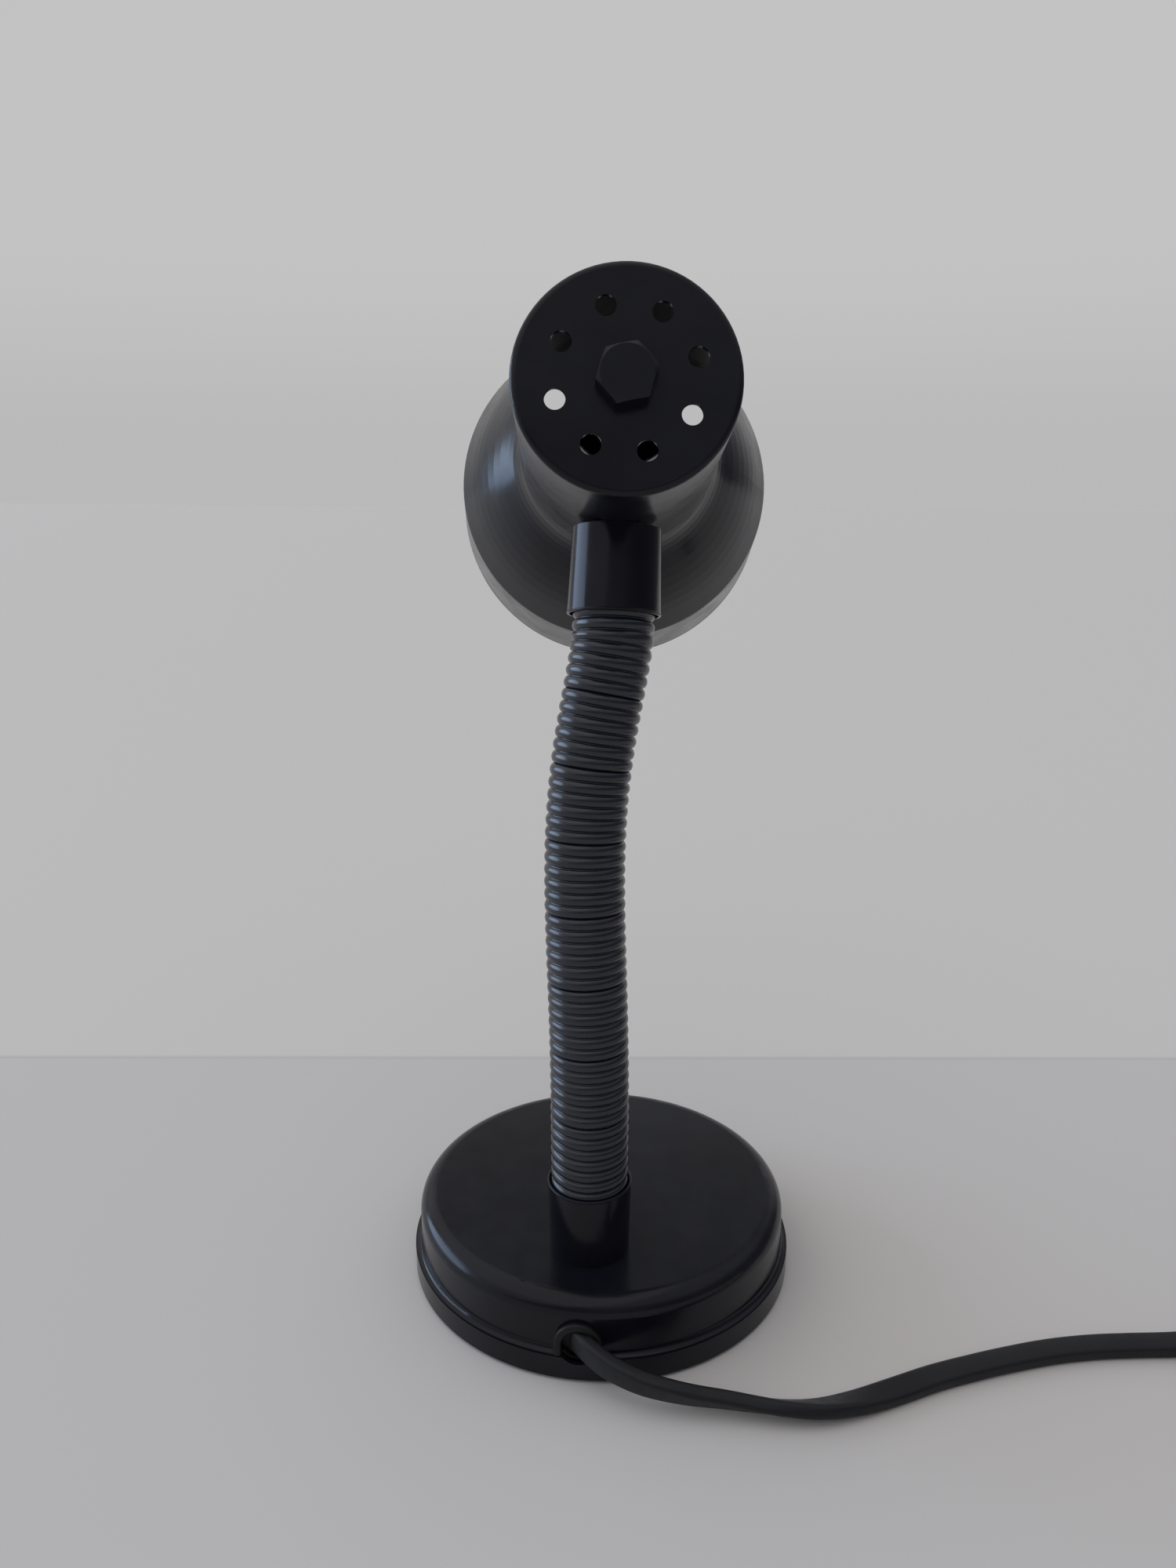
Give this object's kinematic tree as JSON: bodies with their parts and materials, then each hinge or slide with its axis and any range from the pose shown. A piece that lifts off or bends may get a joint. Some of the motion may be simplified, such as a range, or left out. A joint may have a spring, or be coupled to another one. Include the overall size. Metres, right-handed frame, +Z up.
{
  "type": "gooseneck desk lamp",
  "caption": "Desk lamp on a round weighted base: ribbed bending neck, black spun bell shade with a round bulb, and a flat mains lead with an in-line rocker switch and a plug.",
  "frame": {"origin": "middle of the underside of the base, on the table", "axes": "+Z up, +Y the way the shade looks, -Y the side where the lead leaves the base, +X to the right seen from the back"},
  "size_m": [0.391, 0.1856, 0.2857],
  "materials": {
    "black_paint": "gloss",
    "sleeve_plastic": "satin",
    "ballast_iron": "rough",
    "black_rubber": "matte",
    "steel": "satin",
    "brass": "satin",
    "holder_plastic": "gloss",
    "insert_white": "matte",
    "opal_glass": "opal",
    "lead_pvc": "satin",
    "switch_plastic": "satin",
    "bulb_alu": "satin"
  },
  "bodies": {
    "base": {"base_cover": "black_paint", "base_weight": "ballast_iron", "base_plate": "steel", "base_pad": "black_rubber", "plate_screws": "steel", "cord_grommet": "black_rubber", "foot_ferrule": "steel", "foot_washer": "steel", "foot_nut": "brass", "foot_collar": "black_paint", "neck_sleeve": "sleeve_plastic", "lead_to_switch": "lead_pvc", "switch_lower": "switch_plastic", "switch_upper": "switch_plastic", "switch_screws": "steel", "lead_to_coil": "lead_pvc", "lead_coil": "lead_pvc", "lead_to_plug": "lead_pvc", "plug_body": "switch_plastic", "plug_pins": "steel"},
    "neck_1": {"core_1": "steel"},
    "neck_2": {"core_2": "steel"},
    "neck_3": {"core_3": "steel"},
    "neck_4": {"core_4": "steel"},
    "neck_5": {"core_5": "steel"},
    "neck_6": {"core_6": "steel"},
    "neck_7": {"core_7": "steel"},
    "head": {"head_ferrule": "steel", "head_collar": "black_paint", "head_saddle": "steel", "head_nut": "brass", "shade": "black_paint", "shade_bolt": "black_paint", "holder_spacer": "steel", "holder_nut": "brass", "holder_cap": "holder_plastic", "holder_body": "holder_plastic", "holder_insert": "insert_white", "holder_contact": "brass", "holder_shell": "brass", "bulb_cap": "bulb_alu", "bulb_contact": "brass", "bulb_globe": "opal_glass"},
    "rocker": {"switch_rocker": "switch_plastic"}
  },
  "joints": [
    {"name": "bend_1", "type": "hinge", "parent": "base", "child": "neck_1", "pos_m": [0.00001, -0.03056, 0.0554], "axis": [1, 0, 0], "range_deg": [-14, 12], "deforming": ["neck_sleeve"]},
    {"name": "sway_1", "type": "hinge", "parent": "neck_1", "child": "neck_2", "pos_m": [-0.00013, -0.02991, 0.07519], "axis": [0, 0.9988, -0.0494], "range_deg": [-12, 12], "deforming": ["neck_sleeve"]},
    {"name": "bend_2", "type": "hinge", "parent": "neck_2", "child": "neck_3", "pos_m": [-0.0007, -0.0286, 0.09495], "axis": [1, 0, 0], "range_deg": [-14, 12], "deforming": ["neck_sleeve"]},
    {"name": "sway_2", "type": "hinge", "parent": "neck_3", "child": "neck_4", "pos_m": [-0.00159, -0.02672, 0.11464], "axis": [0, 0.9941, -0.1083], "range_deg": [-12, 12], "deforming": ["neck_sleeve"]},
    {"name": "bend_3", "type": "hinge", "parent": "neck_4", "child": "neck_5", "pos_m": [-0.00226, -0.02431, 0.13429], "axis": [1, 0, 0], "range_deg": [-14, 12], "deforming": ["neck_sleeve"]},
    {"name": "sway_3", "type": "hinge", "parent": "neck_5", "child": "neck_6", "pos_m": [-0.00185, -0.02135, 0.15386], "axis": [0, 0.9864, -0.1646], "range_deg": [-12, 12], "deforming": ["neck_sleeve"]},
    {"name": "bend_4", "type": "hinge", "parent": "neck_6", "child": "neck_7", "pos_m": [0.00023, -0.01781, 0.17323], "axis": [1, 0, 0], "range_deg": [-14, 12], "deforming": ["neck_sleeve"]},
    {"name": "sway_4", "type": "hinge", "parent": "neck_7", "child": "head", "pos_m": [0.0032, -0.01359, 0.19235], "axis": [0, 0.9765, -0.2156], "range_deg": [-12, 12], "deforming": ["neck_sleeve"]},
    {"name": "rocker_tilt", "type": "hinge", "parent": "base", "child": "rocker", "pos_m": [0.216, -0.017, 0.0118], "axis": [-0.165, 0.9863, 0], "range_deg": [0, 14]}
  ],
  "couplings": [
    {"joint": "bend_2", "follows": "bend_1", "ratio": 1},
    {"joint": "sway_2", "follows": "sway_1", "ratio": 1},
    {"joint": "bend_3", "follows": "bend_1", "ratio": 1},
    {"joint": "sway_3", "follows": "sway_1", "ratio": 1},
    {"joint": "bend_4", "follows": "bend_1", "ratio": 1},
    {"joint": "sway_4", "follows": "sway_1", "ratio": 1}
  ]
}
